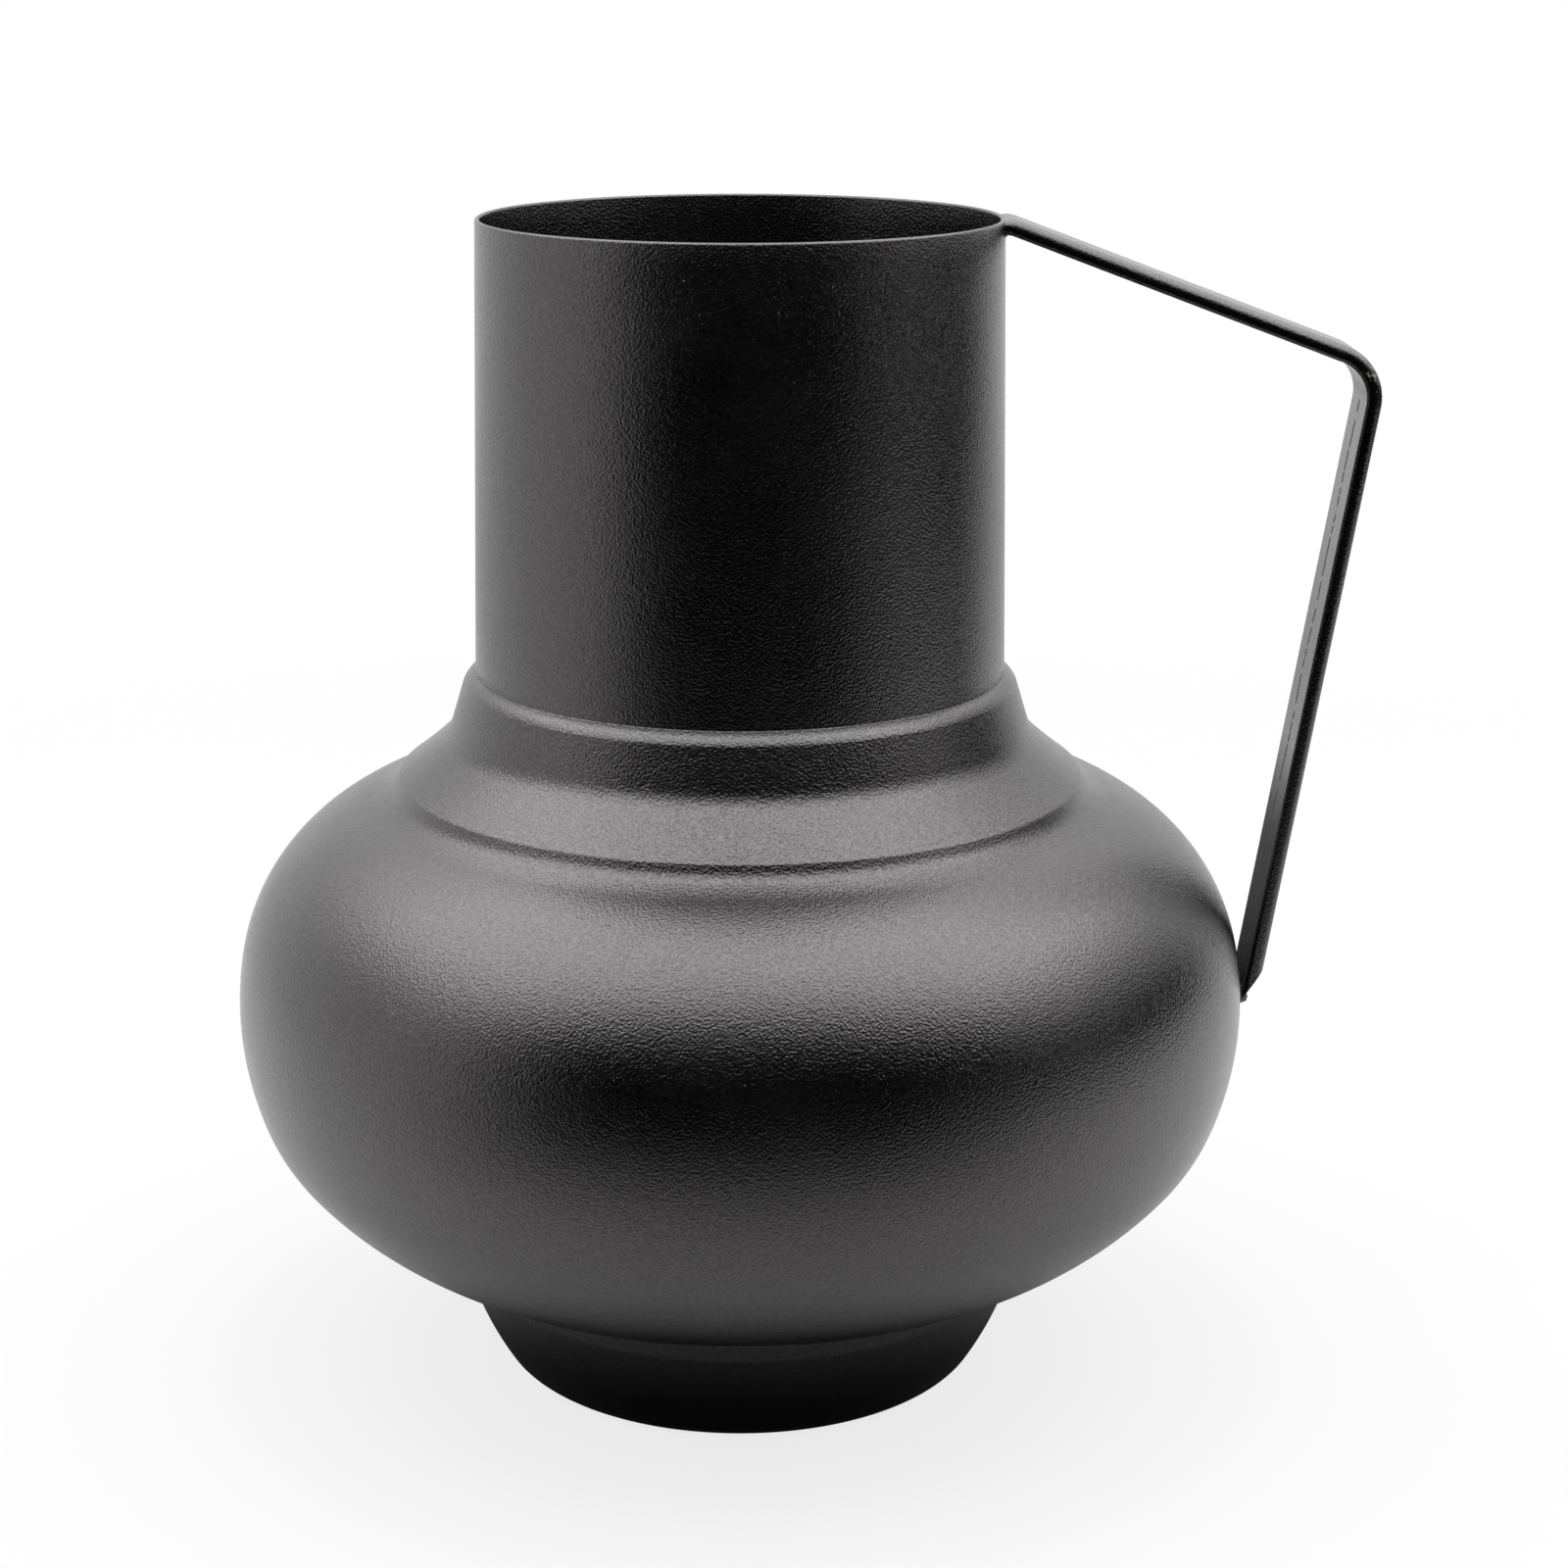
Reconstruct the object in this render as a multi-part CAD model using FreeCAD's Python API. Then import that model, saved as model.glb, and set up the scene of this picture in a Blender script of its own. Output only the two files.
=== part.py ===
# A tall-necked jug of black powder-coated sheet steel, spun and rolled pieces welded together.
# Millimetres. The origin is the centre of the foot's flat base, +Z is up the jug's axis, and
# the strap handle lies in the XZ plane on the +X side.
import FreeCAD, Part
import math
import os

# Sheet, bar and weld metal
wall = 1.2
strap_thickness = 4.0
strap_width = 20.0
strap_outer_round = 1.5
strap_inner_round = 0.5
bead_height = 0.8
bead_half_width = 2.0

# Belly's widest line, from which the neck, the collar and the foot are set in
belly_radius = 130.0
belly_height = 99.9

# Neck: a rolled tube, a little wider at its base than at the rim
rim_height = 300.0
crease_height = 186.4
shoulder_width = 62.6
neck_taper = 2.1
lip_chamfer = 0.3

# Shoulder collar: a spun ring that leaves the neck in a sharp crease and falls in two soft steps
crease_radius = 0.8
bead_top_slope = 14.0
bead_radius = 3.7
first_wall_slope = 73.0
first_wall_length = 9.4
first_hollow_radius = 13.6
flare_top_slope = 33.0
flare_radius = 47.0
flare_end_slope = 46.0
second_corner_radius = 2.5
second_wall_slope = 62.0
second_hollow_radius = 11.5
collar_width = 28.2

# Belly: squashed and wide, from arcs that meet at a tangent; angles are the outward normal's
# lift above the horizontal, or its dip below it
side_radius = 77.0
side_lift = 11.5
shoulder_radius = 50.8
side_dip = 20.6
bilge_radius = 39.7
bilge_dip = 39.4
underside_radius = 84.5

# Foot: a spun cup with a rounded lower edge, its open end welded under the belly
foot_inset = 74.1
bowl_hole_margin = 10.1
foot_corner_radius = 9.3
foot_corner_turn = 58.0
foot_side_radius = 84.0
foot_side_turn = 17.0
foot_line_radius = 1.6
foot_fillet_leg = 2.0

# Handle: one flat bar, bent once, its top a little above the rim and its tip on the belly
strap_rise = 1.2
top_leg_slope = 20.6
lower_leg_lean = 8.9
bend_inner_radius = 10.0
tip_root_gap = 0.7
mitre_height = 8.4
rim_bead_radius = 1.4
tip_bead_radius = 2.3

# One overrun serves every cut
overrun = 4.0

# Where the stations of a span sit along it
station_shares = (0.0, 0.5, 1.0)

UPRIGHT = FreeCAD.Vector(0, 0, 1)
SIDEWAYS = FreeCAD.Vector(0, 1, 0)
ORIGIN = FreeCAD.Vector(0, 0, 0)
FULL_TURN, HALF_TURN = 360, 180
UP, DOWN, OUTWARD = 90, -90, 0


# Outlines

def direction(heading):
    return math.cos(math.radians(heading)), math.sin(math.radians(heading))


def along(place, heading, distance):
    """The place reached from (r, z) by going a distance along a heading in degrees."""
    step_r, step_z = direction(heading)
    return place[0] + distance * step_r, place[1] + distance * step_z


def trace(start, heading, steps):
    """Walks a smooth path. A step is (turn, radius) for an arc, with left turns positive, or
    (0, length) for a straight run. Each span is its start, middle and end, as (r, z, heading)."""
    spans = []
    place = start
    for turn, size in steps:
        stations = []
        for share in station_shares:
            if turn:
                side = math.copysign(1, turn)
                centre = along(place, heading + side * UP, size)
                at = heading + turn * share
                stations.append((*along(centre, at - side * UP, size), at))
            else:
                stations.append((*along(place, heading, size * share), heading))
        spans.append(stations)
        place, heading = stations[-1][:2], stations[-1][2]
    return spans


def backwards(spans):
    """The same path walked the other way."""
    return [[(r, z, heading + HALF_TURN) for r, z, heading in reversed(span)] for span in reversed(spans)]


def inset(station, depth, ahead=0):
    """The point a depth to the right of the path, where the metal is, and some way ahead."""
    r, z, heading = station
    r, z = along((r, z), heading - UP, depth)
    r, z = along((r, z), heading, ahead)
    return FreeCAD.Vector(r, 0, z)


def edge(span, depth=0):
    first, middle, last = [inset(station, depth) for station in span]
    if span[0][2] == span[2][2]:
        return Part.LineSegment(first, last).toShape()
    return Part.Arc(first, middle, last).toShape()


def line(first, last):
    return Part.LineSegment(first, last).toShape()


def strip(spans, thickness, chamfer=0):
    """The face between a path and its inset, closed by square ends, the first with its two
    corners chamfered if a chamfer is given."""
    start, end = spans[0][0], spans[-1][2]
    outer = [edge(span) for span in spans]
    inner = [edge(span, thickness) for span in spans]
    far_cap = line(inset(end, 0), inset(end, thickness))
    near_corners = [inset(start, thickness), inset(start, 0)]
    if chamfer:
        near_corners[1:1] = [inset(start, thickness - chamfer, -chamfer), inset(start, chamfer, -chamfer)]
    near_cap = [line(first, last) for first, last in zip(near_corners, near_corners[1:])]
    return Part.Face(Part.Wire(Part.__sortEdges__(outer + [far_cap] + inner + near_cap)))


def turned(face):
    return face.revolve(ORIGIN, UPRIGHT, FULL_TURN)


def turned_core(spans):
    """The solid of revolution inside a path that runs downwards."""
    top, bottom = inset(spans[0][0], 0), inset(spans[-1][2], 0)
    axis_top, axis_bottom = FreeCAD.Vector(0, 0, top.z), FreeCAD.Vector(0, 0, bottom.z)
    edges = [edge(span) for span in spans]
    closing = [line(bottom, axis_bottom), line(axis_bottom, axis_top), line(axis_top, top)]
    return turned(Part.Face(Part.Wire(Part.__sortEdges__(edges + closing))))


def arc_centre(centre, radius, next_radius, angle):
    """The centre of the next arc of a smooth chain, that meets this one at a normal's angle."""
    return along(centre, angle, radius - next_radius)


def normal_angle(centre, radius, r):
    """The lift of an arc's normal where the arc is r from the axis."""
    return math.degrees(math.acos((r - centre[0]) / radius))


# Radii about the axis

neck_base_radius = belly_radius - shoulder_width
rim_radius = neck_base_radius - neck_taper
collar_seam_radius = neck_base_radius + collar_width
base_flat_radius = belly_radius - foot_inset
bowl_hole_radius = base_flat_radius + bowl_hole_margin

# Belly arcs, from the widest line up to the collar's seam and down to the hole over the foot

side_centre = (belly_radius - side_radius, belly_height)
shoulder_centre = arc_centre(side_centre, side_radius, shoulder_radius, side_lift)
bilge_centre = arc_centre(side_centre, side_radius, bilge_radius, -side_dip)
underside_centre = arc_centre(bilge_centre, bilge_radius, underside_radius, -bilge_dip)
seam_lift = normal_angle(shoulder_centre, shoulder_radius, collar_seam_radius)
hole_dip = normal_angle(underside_centre, underside_radius, bowl_hole_radius)

upper_belly = trace(along(shoulder_centre, seam_lift, shoulder_radius), seam_lift + DOWN,
                    [(side_lift - seam_lift, shoulder_radius), (-side_lift, side_radius)])
lower_belly = trace((belly_radius, belly_height), DOWN,
                    [(-side_dip, side_radius), (side_dip - bilge_dip, bilge_radius),
                     (bilge_dip - hole_dip, underside_radius)])

# Neck and collar, from the rim down

lip_shoulder_height = rim_height - lip_chamfer
neck_length = math.hypot(neck_taper, lip_shoulder_height - crease_height)
neck_heading = DOWN + math.degrees(math.asin(neck_taper / neck_length))
neck = trace((rim_radius, lip_shoulder_height), neck_heading, [(0, neck_length)])
steps = trace((neck_base_radius, crease_height), neck_heading,
              [(-bead_top_slope - neck_heading, crease_radius),
               (bead_top_slope - first_wall_slope, bead_radius),
               (0, first_wall_length),
               (first_wall_slope - flare_top_slope, first_hollow_radius),
               (flare_top_slope - flare_end_slope, flare_radius),
               (flare_end_slope - second_wall_slope, second_corner_radius)])


def second_hollow(place):
    """Length of the second step's wall, and the lift at which its hollow runs into the belly:
    the hollow's circle touches both the wall's line and the belly's shoulder arc."""
    start = along(place, UP - second_wall_slope, second_hollow_radius)
    from_r, from_z = start[0] - shoulder_centre[0], start[1] - shoulder_centre[1]
    down_r, down_z = direction(-second_wall_slope)
    ahead = from_r * down_r + from_z * down_z
    reach = shoulder_radius + second_hollow_radius
    length = -ahead - math.sqrt(ahead ** 2 - from_r ** 2 - from_z ** 2 + reach ** 2)
    touch_r, touch_z = along((from_r, from_z), -second_wall_slope, length)
    return length, math.degrees(math.atan2(touch_z, touch_r))


second_wall_length, hollow_lift = second_hollow(steps[-1][2][:2])
collar = steps + trace(steps[-1][2][:2], -second_wall_slope,
                       [(0, second_wall_length),
                        (hollow_lift + DOWN + second_wall_slope, second_hollow_radius),
                        (seam_lift - hollow_lift, shoulder_radius)])

neck_run_up = trace(along(neck[0][0][:2], neck_heading, -overrun), neck_heading, [(0, overrun)])
body_outline = neck_run_up + neck + collar + upper_belly + lower_belly
body_core = turned_core(body_outline)

# Foot, from the middle of its base out and up, then cut off where it meets the belly

foot_line_turn = UP - foot_corner_turn - foot_side_turn
foot_rise = trace((0, 0), OUTWARD,
                  [(0, base_flat_radius), (foot_corner_turn, foot_corner_radius),
                   (foot_side_turn, foot_side_radius), (foot_line_turn, foot_line_radius)])
foot_radius, foot_line_height = foot_rise[-1][2][:2]
underside_dip = normal_angle(underside_centre, underside_radius, foot_radius)
foot_joint = along(underside_centre, -underside_dip, underside_radius)
foot_band_length = foot_joint[1] - foot_line_height + overrun
foot = backwards(foot_rise + trace((foot_radius, foot_line_height), UP, [(0, foot_band_length)]))

# Sheet pieces

neck_tube = turned(strip(neck, wall, lip_chamfer))
shoulder_collar = turned(strip(collar, wall))
belly_upper = turned(strip(upper_belly, wall))
belly_lower = turned(strip(lower_belly, wall))
foot_cup = turned(strip(foot, wall)).cut(body_core)


# Weld beads inside the body, low ridges along the seams between two sheets

def inner_bead(above, below):
    """A ring on the body's inner face, three-sided, from one station of the outline to another."""
    top, bottom = inset(above, wall), inset(below, wall)
    inward_r, inward_z = direction((above[2] + below[2]) / 2 - UP)
    crown = (top + bottom) / 2 + FreeCAD.Vector(inward_r, 0, inward_z) * bead_height
    return turned(Part.Face(Part.makePolygon([top, crown, bottom, top])))


def seam_bead(centre, radius, lift):
    """The bead over a seam that lies on one of the outline's arcs."""
    spread = math.degrees(bead_half_width / radius)
    ends = [(*along(centre, angle, radius), angle + DOWN) for angle in (lift + spread, lift - spread)]
    return inner_bead(*ends)


neck_end = neck[-1][2]
bead_start = (*along(neck_end[:2], neck_heading, -2 * bead_half_width), neck_heading)
neck_weld = inner_bead(bead_start, neck_end)
collar_weld = seam_bead(shoulder_centre, shoulder_radius, seam_lift)
girth_weld = seam_bead(side_centre, side_radius, 0)

# The foot's weld is a fillet in the corner between the belly's underside and the foot's band
fillet_corner = FreeCAD.Vector(foot_radius, 0, foot_joint[1])
fillet_out = FreeCAD.Vector(foot_radius + foot_fillet_leg, 0, foot_joint[1] + foot_fillet_leg)
fillet_down = FreeCAD.Vector(foot_radius, 0, foot_joint[1] - foot_fillet_leg)
fillet_wire = Part.makePolygon([fillet_corner, fillet_out, fillet_down, fillet_corner])
foot_weld = turned(Part.Face(fillet_wire)).cut(body_core)

# Handle strap, along its outer face from the rim to the tip on the belly

lower_heading = DOWN - lower_leg_lean
bend_turn = lower_heading + top_leg_slope
bend_radius = bend_inner_radius + strap_thickness
rim_start = (math.sqrt(rim_radius ** 2 - (strap_width / 2) ** 2), rim_height + strap_rise)
tip_inner = (belly_radius + tip_root_gap, belly_height)
tip_outer = along(tip_inner, lower_heading + UP, strap_thickness)


def crossing(first, first_heading, second, second_heading):
    """Distance along the first line to where the second line crosses it."""
    first_r, first_z = direction(first_heading)
    second_r, second_z = direction(second_heading)
    gap_r, gap_z = second[0] - first[0], second[1] - first[1]
    return (gap_r * second_z - gap_z * second_r) / (first_r * second_z - first_z * second_r)


bend_setback = bend_radius * math.tan(math.radians(abs(bend_turn) / 2))
top_leg_length = crossing(rim_start, -top_leg_slope, tip_outer, lower_heading) - bend_setback
bend_corner = along(rim_start, -top_leg_slope, top_leg_length + bend_setback)
lower_leg_length = math.dist(bend_corner, tip_outer) - bend_setback
strap_start = along(rim_start, -top_leg_slope, -overrun)
strap_path = trace(strap_start, -top_leg_slope,
                   [(0, top_leg_length + overrun), (bend_turn, bend_radius),
                    (0, lower_leg_length + overrun)])
strap_face = strip(strap_path, strap_thickness)
strap_face.translate(SIDEWAYS * (-strap_width / 2))
strap = strap_face.extrude(SIDEWAYS * strap_width)
strap_outer_line = Part.Wire([edge(span) for span in strap_path])
past_outer_corner = math.hypot(strap_width / 2, strap_thickness / 2)


def long_edges(shape, outer):
    """The strap's long edges along its outer face, or those along its inner face."""
    at_side = [e for e in shape.Edges
               if math.isclose(abs(e.CenterOfMass.y), strap_width / 2) and e.Length > 2 * strap_thickness]
    return [e for e in at_side if (e.distToShape(strap_outer_line)[0] < past_outer_corner) == outer]


strap = strap.makeFillet(strap_outer_round, long_edges(strap, True))
strap = strap.makeFillet(strap_inner_round, long_edges(strap, False))

# The lower end is cut on a slant, from the outer face down to a tip at the belly
mitre_top = along(tip_outer, lower_heading + HALF_TURN, mitre_height)
mitre_heading = math.degrees(math.atan2(tip_inner[1] - mitre_top[1], tip_inner[0] - mitre_top[0]))
mitre_points = [along(mitre_top, mitre_heading, -overrun), along(tip_inner, mitre_heading, overrun)]
mitre_points += [along(point, mitre_heading + UP, 2 * overrun) for point in reversed(mitre_points)]
mitre_loop = [FreeCAD.Vector(r, -strap_width, z) for r, z in mitre_points]
mitre = Part.Face(Part.makePolygon(mitre_loop + mitre_loop[:1])).extrude(SIDEWAYS * (2 * strap_width))
above_rim = Part.makeCylinder(rim_radius, 2 * overrun, UPRIGHT * lip_shoulder_height)
handle_strap = strap.cut(mitre).cut(body_core).cut(above_rim)


# Weld beads at the two ends of the strap, each following the jug's round

def strap_bead(r, z, radius):
    """A round section swept about the jug's axis across the width of the strap."""
    half_angle = math.degrees(math.asin(strap_width / 2 / r))
    section = Part.Face(Part.Wire(Part.makeCircle(radius, FreeCAD.Vector(r, 0, z), SIDEWAYS)))
    section.rotate(ORIGIN, UPRIGHT, -half_angle)
    return section.revolve(ORIGIN, UPRIGHT, 2 * half_angle).cut(body_core).cut(handle_strap)


strap_foot_drop = strap_thickness / math.cos(math.radians(top_leg_slope))
handle_rim_weld = strap_bead(rim_radius, rim_start[1] - strap_foot_drop, rim_bead_radius)
handle_belly_weld = strap_bead(tip_inner[0], tip_inner[1], tip_bead_radius)

nodes = {
    "neck_tube": neck_tube,
    "shoulder_collar": shoulder_collar,
    "belly_upper": belly_upper,
    "belly_lower": belly_lower,
    "foot_cup": foot_cup,
    "handle_strap": handle_strap,
    "neck_weld": neck_weld,
    "collar_weld": collar_weld,
    "girth_weld": girth_weld,
    "foot_weld": foot_weld,
    "handle_rim_weld": handle_rim_weld,
    "handle_belly_weld": handle_belly_weld,
}

os.makedirs("parts", exist_ok=True)
for name, shape in nodes.items():
    shape.exportStep(f"parts/{name}.step")
    box = shape.BoundBox
    print(f"{name}: {len(shape.Solids)} solid, valid {shape.isValid()}, {shape.Volume:.0f} mm3, "
          f"r or x to {box.XMax:.2f}, z {box.ZMin:.2f} to {box.ZMax:.2f}")
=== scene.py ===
import bmesh
import bpy
import numpy as np
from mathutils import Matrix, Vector


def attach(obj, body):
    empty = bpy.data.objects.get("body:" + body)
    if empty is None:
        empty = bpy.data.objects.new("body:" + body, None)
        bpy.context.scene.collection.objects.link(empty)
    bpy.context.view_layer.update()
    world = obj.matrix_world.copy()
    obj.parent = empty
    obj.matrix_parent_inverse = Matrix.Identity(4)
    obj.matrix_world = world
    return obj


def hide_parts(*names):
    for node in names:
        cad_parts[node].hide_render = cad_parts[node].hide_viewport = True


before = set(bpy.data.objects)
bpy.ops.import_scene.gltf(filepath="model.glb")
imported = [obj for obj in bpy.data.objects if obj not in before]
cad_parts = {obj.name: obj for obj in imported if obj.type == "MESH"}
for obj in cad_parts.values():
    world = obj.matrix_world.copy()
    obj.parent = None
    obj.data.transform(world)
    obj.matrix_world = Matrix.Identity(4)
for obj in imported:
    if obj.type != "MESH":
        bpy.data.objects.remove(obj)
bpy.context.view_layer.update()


# Neck: a tube rolled from 1.2 mm steel sheet, a little wider at its foot than at the lip. Its
# seam is ground away, the cut edge of the lip is rounded, and it is powder-coated in one go
# with the rest of the jug.

MM = 0.001
WALL = 1.2
RIM_RADIUS = 65.3
NECK_FOOT_RADIUS = 67.4
JUG_HEIGHT = 299.97
CREASE_HEIGHT = 186.4
LIP_ROUND = 0.6
AROUND = 320
SHARP_EDGE = 38
SAME_PLACE = 0.00002


def walk(start, heading, steps, stride=1.3, stride_turn=5):
    """A smooth path as rows of r, z and heading in degrees. Each step is (turn, radius), an arc
    about a centre one radius to the left of the path, or to its right for a negative turn, or
    (0, length), a straight run. Rows lie at most a stride, or a few degrees of turn, apart."""
    rows = [np.array([[*start, heading]])]
    for turn, size in steps:
        r, z, heading = rows[-1][-1]
        length = size * np.radians(abs(turn)) if turn else size
        count = int(np.ceil(max(length / stride, abs(turn) / stride_turn, 1)))
        share = np.linspace(0, 1, count + 1)[1:]
        first, now = np.radians(heading), np.radians(heading + turn * share)
        if turn:
            radius = np.copysign(size, turn)
            ahead_r = radius * (np.sin(now) - np.sin(first))
            ahead_z = radius * (np.cos(first) - np.cos(now))
        else:
            ahead_r, ahead_z = size * share * np.cos(first), size * share * np.sin(first)
        rows.append(np.column_stack([r + ahead_r, z + ahead_z, np.degrees(now)]))
    return np.vstack(rows)


def beside(path, depth):
    """The path shifted sideways: every row moves a depth at right angles to its heading, to the
    right, which is where the metal is."""
    heading = np.radians(path[:, 2])
    return path[:, :2] + depth * np.column_stack([np.sin(heading), -np.cos(heading)])


def grid_mesh(name, points, closed_rows, closed_columns):
    """A mesh on a grid of points, (rows, columns, 3): one quad between neighbours, wrapped round
    where the grid closes on itself. Points may fall together in it, as at a pole."""
    rows, columns = points.shape[:2]
    index = np.arange(rows * columns).reshape(rows, columns)
    index = np.vstack([index, index[:1]]) if closed_rows else index
    index = np.hstack([index, index[:, :1]]) if closed_columns else index
    corners = [index[:-1, :-1], index[1:, :-1], index[1:, 1:], index[:-1, 1:]]
    quads = np.stack(corners, -1).reshape(-1, 4)
    mesh = bpy.data.meshes.new(name)
    mesh.from_pydata((points.reshape(-1, 3) * MM).tolist(), [], quads.tolist())
    return mesh


def finished(name, mesh, material):
    """An object at the origin from a mesh. Points that fall together are merged, open ends are
    filled, and it shades smoothly up to its sharp edges."""
    shell = bmesh.new()
    shell.from_mesh(mesh)
    bmesh.ops.remove_doubles(shell, verts=shell.verts, dist=SAME_PLACE)
    bmesh.ops.holes_fill(shell, edges=[edge for edge in shell.edges if edge.is_boundary], sides=0)
    shell.to_mesh(mesh)
    shell.free()
    mesh.shade_smooth()
    mesh.set_sharp_from_angle(angle=np.radians(SHARP_EDGE))
    mesh.materials.append(material)
    piece = bpy.data.objects.new(name, mesh)
    bpy.context.scene.collection.objects.link(piece)
    return piece


def spun(name, section, material, closed=True):
    """A section (r, z) turned about the jug's axis: x = r cos a, y = r sin a for every azimuth a.
    The section runs with the metal on its right, and an open one starts and ends on the axis."""
    azimuth = np.linspace(0, 2 * np.pi, AROUND, endpoint=False)
    r, z = section[:, :1], section[:, 1:2]
    points = np.stack([r * np.cos(azimuth), r * np.sin(azimuth), z + 0 * azimuth], axis=-1)
    return finished(name, grid_mesh(name, points, closed, True), material)


def linear(hex_colour):
    """An sRGB hex colour as linear red, green, blue and alpha."""
    channels = np.array([int(hex_colour[i:i + 2], 16) for i in (1, 3, 5)]) / 255
    low, high = channels / 12.92, ((channels + 0.055) / 1.055) ** 2.4
    return (*np.where(channels <= 0.04045, low, high), 1.0)


def add(material, kind, inputs, **settings):
    """A shader node with its settings, its inputs set to values or linked from outputs."""
    node = material.node_tree.nodes.new("ShaderNode" + kind)
    for name, value in settings.items():
        setattr(node, name, value)
    for name, value in inputs.items():
        if isinstance(value, bpy.types.NodeSocket):
            material.node_tree.links.new(value, node.inputs[name])
        else:
            node.inputs[name].default_value = value
    return node


def per_metre(size):
    """The texture scale that repeats once in a size in millimetres."""
    return 1 / (size * MM)


# Satin black polyester powder coat, sprayed dry and cured in an oven. It flows into a fine orange
# peel, so highlights are broad and grainy, and a few pinholes and nibs stay in it. The peel is
# drawn about 0.6 mm apart, a little coarser than it is, so that it shows.
COAT_BLACK = "#010101"
COAT_THIN = "#040404"
COAT_NIB = "#5c5a58"
COAT_GLINT = "#fff9fc"
# Range of the specular tint over the peel: painted highlight on crowns, painted shade in hollows
PEEL_GLINT = (0.7, 1.2)
COAT_IOR = 1.8
COAT_ROUGHNESS = 0.2
PEEL_SIZE = 0.6
PEEL_DEPTH = 0.195
PEEL_DETAIL = 2.0
PEEL_FINENESS = 0.45
NOISE_RANGE = (0.3, 0.7)
PATCH_SIZE = 26.0
PATCH_DETAIL = 3.0
PATCH_RANGE = (0.35, 0.7)
PATCH_GLOSS = (-0.02, 0.04)
PIT_SPACING = 2.6
PIT_RADIUS = 0.24
PIT_DEPTH = 0.06
PIT_SHARE = 0.3
NIB_SPACING = 3.4
NIB_RADIUS = 0.15
NIB_SHARE = 0.2
DOT_EDGE = 0.4


def coat(name, peel_depth=PEEL_DEPTH, roughness=COAT_ROUGHNESS, ior=COAT_IOR):
    """A powder coat's material. Returns it with the sockets that a worn finish builds on: the
    place, the colour, the height in metres, and the shader node."""
    material = bpy.data.materials.new(name)
    material.use_nodes = True
    material.node_tree.nodes.clear()
    place = add(material, "TexCoord", {}).outputs["Object"]
    noise = add(material, "TexNoise", {"Vector": place, "Scale": per_metre(PEEL_SIZE),
                                       "Detail": PEEL_DETAIL, "Roughness": PEEL_FINENESS})
    peel = noise.outputs["Fac"]
    patch = add(material, "TexNoise", {"Vector": place, "Scale": per_metre(PATCH_SIZE),
                                       "Detail": PATCH_DETAIL})
    thin = add(material, "MapRange", {"Value": patch.outputs["Fac"], "From Min": PATCH_RANGE[0],
                                      "From Max": PATCH_RANGE[1]})

    # Two fields of spaced dots: a share of the first field's are pinholes, of the second's nibs
    dots = []
    for spacing, radius, share in ((PIT_SPACING, PIT_RADIUS, PIT_SHARE),
                                   (NIB_SPACING, NIB_RADIUS, NIB_SHARE)):
        cell = add(material, "TexVoronoi", {"Vector": place, "Scale": per_metre(spacing)})
        near = add(material, "MapRange", {"Value": cell.outputs["Distance"],
                                          "From Min": radius / spacing,
                                          "From Max": DOT_EDGE * radius / spacing})
        chosen = add(material, "Math", {0: cell.outputs["Color"], 1: share}, operation="LESS_THAN")
        dots.append(add(material, "Math", {0: near.outputs[0], 1: chosen.outputs[0]},
                        operation="MULTIPLY").outputs[0])
    pit, nib = dots

    toned = add(material, "Mix", {"Factor": thin.outputs[0], "A": linear(COAT_BLACK),
                                  "B": linear(COAT_THIN)}, data_type="RGBA")
    colour = add(material, "Mix", {"Factor": nib, "A": toned.outputs["Result"],
                                   "B": linear(COAT_NIB)}, data_type="RGBA")
    height = add(material, "Math", {0: peel, 1: peel_depth * MM}, operation="MULTIPLY")
    sunk = add(material, "Math", {0: pit, 1: -PIT_DEPTH * MM, 2: height.outputs[0]},
               operation="MULTIPLY_ADD")
    gloss = add(material, "MapRange", {"Value": patch.outputs["Fac"], "From Min": NOISE_RANGE[0],
                                       "From Max": NOISE_RANGE[1],
                                       "To Min": roughness + PATCH_GLOSS[0],
                                       "To Max": roughness + PATCH_GLOSS[1]})

    # Painted highlight on the peel's crowns and painted shade in its hollows, by the specular tint,
    # so bright zones have its grain too
    crown_highlight = add(material, "MapRange", {"Value": peel, "From Min": NOISE_RANGE[0],
                                        "From Max": NOISE_RANGE[1], "To Min": PEEL_GLINT[0],
                                        "To Max": PEEL_GLINT[1]})
    glint = add(material, "Mix", {"Factor": 1.0, "A": linear(COAT_GLINT), "B": crown_highlight.outputs[0]},
                data_type="RGBA", blend_type="MULTIPLY")
    shader = add(material, "BsdfPrincipled", {"Base Color": colour.outputs["Result"], "IOR": ior,
                                              "Specular Tint": glint.outputs["Result"],
                                              "Roughness": gloss.outputs[0]})
    bump = add(material, "Bump", {"Height": sunk.outputs[0], "Strength": 1.0, "Distance": 1.0})
    material.node_tree.links.new(bump.outputs["Normal"], shader.inputs["Normal"])
    add(material, "OutputMaterial", {"Surface": shader.outputs["BSDF"]})
    return material, place, colour, sunk, shader


sheet_coat = coat("satin black powder coat on steel sheet")[0]

neck_slope = np.degrees(np.arctan2(NECK_FOOT_RADIUS - RIM_RADIUS, JUG_HEIGHT - CREASE_HEIGHT))
neck_heading = -90 + neck_slope
lip_start = (RIM_RADIUS - LIP_ROUND * np.cos(np.radians(neck_slope)), JUG_HEIGHT)
neck_length = (JUG_HEIGHT - LIP_ROUND - CREASE_HEIGHT) / np.cos(np.radians(neck_slope))
lip_half = walk(lip_start, 0, [(neck_heading, LIP_ROUND)], stride_turn=15)
neck_up = walk((NECK_FOOT_RADIUS, CREASE_HEIGHT), neck_heading + 180, [(0, neck_length)], stride=6)
neck_outside = neck_up[::-1].copy()
neck_outside[:, 2] = neck_heading
lip_inner_half = lip_half[::-1] * [-1, 1, 1] + [2 * lip_start[0], 0, 0]
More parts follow.
